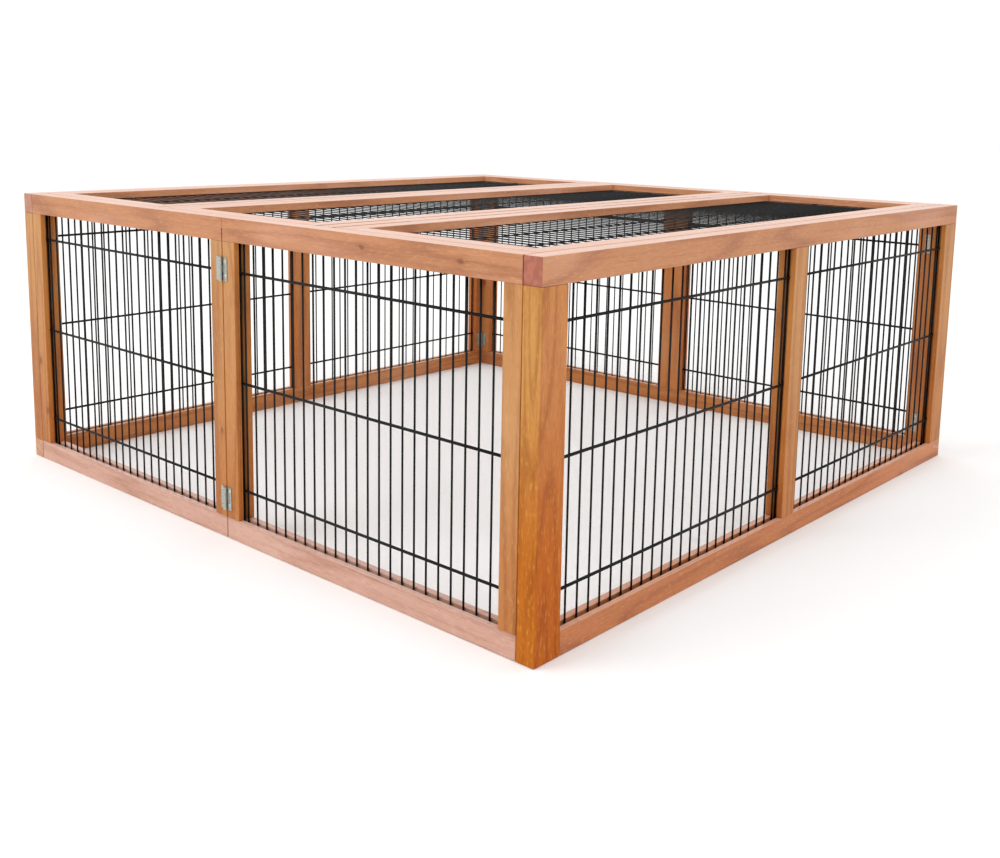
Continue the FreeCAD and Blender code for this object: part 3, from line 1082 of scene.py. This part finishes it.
@dataclass
class PetRun:
    """The whole run: two rigid frames, four folding panels and the lid."""

    paints: Paints = field(default_factory=Paints)
    hinges: Hinges = field(default_factory=Hinges)
    butt_ease: float = 0.5 * MM
    foot_screw_runs: tuple[float, float] = (9.0 * MM, 21.0 * MM)
    foot_screw_slope: float = 0.25
    foot_screw_head: float = 2.2 * MM
    bar_screw_inset: float = 4.0 * MM
    bar_screw_spread: float = 8.0 * MM
    bar_screw_head: float = 2.4 * MM
    flush_dome: float = 0.3 * MM

    def __post_init__(self) -> None:
        """Starts an empty set of screws for each body."""
        self.screws = {body: ScrewSet(body) for body in frame["bodies"]}

    def build(self) -> None:
        """Builds every sub-assembly in order."""
        for name, side in SIDES.items():
            self.side_frame(name, side)
        for end_name, end in ENDS.items():
            for side_name, side in SIDES.items():
                self.fold_panel(end_name, end, side_name, side)
        self.lid()
        for screw_set in self.screws.values():
            if screw_set.screws:
                screw_set.build(self.paints)
        self.dress_hinges()

    def side_frame(self, name: str, side: int) -> None:
        """Builds a rigid frame.

        Args:
            name: left or right.
            side: its sign along x.
        """
        body = f"{name}_frame"
        tones = {"top_rail": RUSSET, "bottom_rail": RUSSET, "rear_stile": TAN, "centre_post": TAN}
        tones["front_stile"] = AMBER
        if side < 0:
            tones.update(top_rail=WORN_RUSSET, bottom_rail=DEEP)
            tones.update(front_stile=TAN, centre_post=DEEP, rear_stile=DEEP)
        for part, finish in tones.items():
            Timber(f"{name}_{part}", body, finish, run=Grain.Y).build(self.paints)
        outward = Vector((side, 0, 0))
        for end_name, end in ENDS.items():
            WirePanel(f"{name}_{end_name}_mesh", body, outward).build(self.paints)
            pin = self.corner_pin(side, end)
            self.screws[body].screws += self.hinges.upright(pin, Vector((0, -end, 0)), outward)
            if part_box(f"{name}_{end_name}_stile")[0].z > self.butt_ease:
                self.screws[body].screws += self.foot_screws(name, side, end)

    def foot_screws(self, name: str, side: int, end: int) -> list[Screw]:
        """Screws through a bottom rail's end.

        Args:
            name: left or right.
            side: the frame's sign along x.
            end: the rail end's sign along y.

        Returns:
            Two screws.
        """
        low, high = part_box(f"{name}_bottom_rail")
        middle = (low + high) / 2
        half = (high - low) / 2
        screws = []
        for run in self.foot_screw_runs:
            reach = Vector((side * half.x, end * (half.y - run), run * self.foot_screw_slope))
            screws.append(Screw(middle + reach, Vector((side, 0, 0)), self.foot_screw_head, self.flush_dome))
        return screws

    def fold_panel(self, end_name: str, end: int, side_name: str, side: int) -> None:
        """Builds half of the front or rear side.

        Args:
            end_name: front or rear.
            end: its sign along y.
            side_name: left or right.
            side: its sign along x.
        """
        body = f"{end_name}_{side_name}"
        tones = {"top_rail": RUSSET, "bottom_rail": BLUSH, "corner_stile": TAN, "middle_stile": TAN}
        if end > 0:
            tones.update(bottom_rail=DEEP, corner_stile=DEEP, middle_stile=DEEP)
        for part, finish in tones.items():
            ease = self.butt_ease if part == "top_rail" else Timber.ease
            Timber(f"{body}_{part}", body, finish, Grain.X, ease).build(self.paints)
        outward = Vector((0, end, 0))
        WirePanel(f"{body}_mesh", body, outward).build(self.paints)
        corner = self.corner_pin(side, end)
        self.screws[body].screws += self.hinges.upright(corner, Vector((-side, 0, 0)), outward)
        middle = PINS[f"{end_name}_seam"]
        self.screws[body].screws += self.hinges.upright(middle, Vector((side, 0, 0)), -outward)

    def corner_pin(self, side: int, end: int) -> Vector:
        """Place of a corner hinge's pin, which is the same distance out at every corner."""
        pin = PINS["fold"]
        return Vector((side * abs(pin.x), end * abs(pin.y), pin.z))

    def lid(self) -> None:
        """Builds the lid frame and its three flaps."""
        body = "lid_frame"
        for end in ENDS:
            Timber(f"lid_{end}_rail", body, RUSSET, ease=self.butt_ease, spliced=True).build(self.paints)
        for side in SIDES:
            Timber(f"lid_{side}_bar", body, RUSSET).build(self.paints)
            self.screws[body].screws += self.bar_screws(f"lid_{side}_bar")
        for name in ("left_flap", "middle_flap", "right_flap"):
            Flap(name, RUSSET).build(self.paints)
            pin = PINS[f"{name}_hinge"]
            low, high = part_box(f"{name}_frame")
            to_flap = Vector((math.copysign(1, (low.x + high.x) / 2 - pin.x), 0, 0))
            self.screws[body].screws += self.hinges.flap(pin, -to_flap)
            self.screws[name].screws += self.hinges.flap(pin, to_flap)

    def bar_screws(self, bar: str) -> list[Screw]:
        """Screws through both ends of a cross bar.

        Args:
            bar: the bar's node.

        Returns:
            Two screws for each end.
        """
        low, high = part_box(bar)
        centre = (low.x + high.x) / 2
        screws = []
        for row in (low.y + self.bar_screw_inset, high.y - self.bar_screw_inset):
            for run in (-self.bar_screw_spread, self.bar_screw_spread):
                at = Vector((centre + run, row, high.z))
                screws.append(Screw(at, UP, self.bar_screw_head, self.flush_dome))
        return screws

    def dress_hinges(self) -> None:
        """Gives the hinge leaves and pins their zinc."""
        for name, node in frame["nodes"].items():
            if "hinge" in name:
                for material_slot in node.material_slots:
                    material_slot.material = self.paints.hinge
                LOG.info("%s: zinc", name)


@dataclass(frozen=True)
class PanelLight:
    """A soft square light: its place, its power in watts and its width in metres."""

    name: str
    at: tuple[float, float, float]
    power: float
    width: float

    def hang(self, aim: Vector) -> None:
        """Hangs the light.

        Args:
            aim: the point that it faces.
        """
        data = bpy.data.lights.new(self.name, "AREA")
        data.energy = self.power
        data.size = self.width
        made = bpy.data.objects.new(self.name, data)
        at = Vector(self.at)
        turn = (at - aim).to_track_quat("Z", "Y").to_matrix().to_4x4()
        made.matrix_world = Matrix.Translation(at) @ turn
        bpy.context.scene.collection.objects.link(made)


@dataclass
class Studio:
    """Floor, light and camera."""

    eye: Vector = field(default_factory=lambda: Vector((1.3954, -1.5593, 0.6333)))
    yaw: float = math.radians(41.89)
    pitch: float = math.radians(8.95)
    roll: float = math.radians(0.96)
    lens: float = 41.47
    sensor: float = 36.0
    shift: tuple[float, float] = (0.002, -0.134)
    aim: Vector = field(default_factory=lambda: Vector((0, 0, 0.25)))
    floor_half: float = 40.0
    floor_drop: float = 0.5 * MM
    surround: float = 1.08
    key: PanelLight = PanelLight("key", (-1.6, -3.4, 3.2), 60.0, 2.6)
    fill: PanelLight = PanelLight("fill", (3.4, -1.0, 2.4), 22.0, 3.0)

    def build(self, paints: Paints) -> None:
        """Sets up the studio.

        Args:
            paints: the finished materials.
        """
        self.floor(paints)
        self.lights()
        self.camera()
        bpy.context.scene.view_settings.view_transform = "Standard"

    def floor(self, paints: Paints) -> None:
        """Lays the floor just under the run.

        Args:
            paints: the finished materials.
        """
        mesh = bmesh.new()
        bmesh.ops.create_grid(mesh, x_segments=1, y_segments=1, size=self.floor_half)
        bmesh.ops.translate(mesh, verts=mesh.verts, vec=UP * -self.floor_drop)
        data = bpy.data.meshes.new("floor")
        mesh.to_mesh(data)
        mesh.free()
        data.materials.append(paints.floor)
        made = bpy.data.objects.new("floor", data)
        bpy.context.scene.collection.objects.link(made)

    def lights(self) -> None:
        """Hangs a soft white surround, a key light and a weak fill light."""
        world = bpy.data.worlds.new("surround")
        world.use_nodes = True
        background = world.node_tree.nodes["Background"]
        background.inputs["Color"].default_value = (1, 1, 1, 1)
        background.inputs["Strength"].default_value = self.surround
        bpy.context.scene.world = world
        for light in (self.key, self.fill):
            light.hang(self.aim)

    def camera(self) -> None:
        """Stands the camera where the photograph was taken from."""
        level = math.cos(self.pitch)
        ahead = Vector((-math.sin(self.yaw) * level, math.cos(self.yaw) * level, -math.sin(self.pitch)))
        right = Vector((math.cos(self.yaw), math.sin(self.yaw), 0))
        up = right.cross(ahead)
        turned_right = right * math.cos(self.roll) + up * math.sin(self.roll)
        turned_up = up * math.cos(self.roll) - right * math.sin(self.roll)
        data = bpy.data.cameras.new("camera")
        data.sensor_width = self.sensor
        data.lens = self.lens
        data.shift_x, data.shift_y = self.shift
        made = bpy.data.objects.new("camera", data)
        turn = Matrix((turned_right, turned_up, -ahead)).transposed().to_4x4()
        made.matrix_world = Matrix.Translation(self.eye) @ turn
        bpy.context.scene.collection.objects.link(made)
        bpy.context.scene.camera = made


def main() -> None:
    """Builds the run, then the studio."""
    logging.basicConfig(level=logging.INFO, format="%(message)s")
    run = PetRun()
    run.build()
    Studio().build(run.paints)


if __name__ == "__main__":
    main()
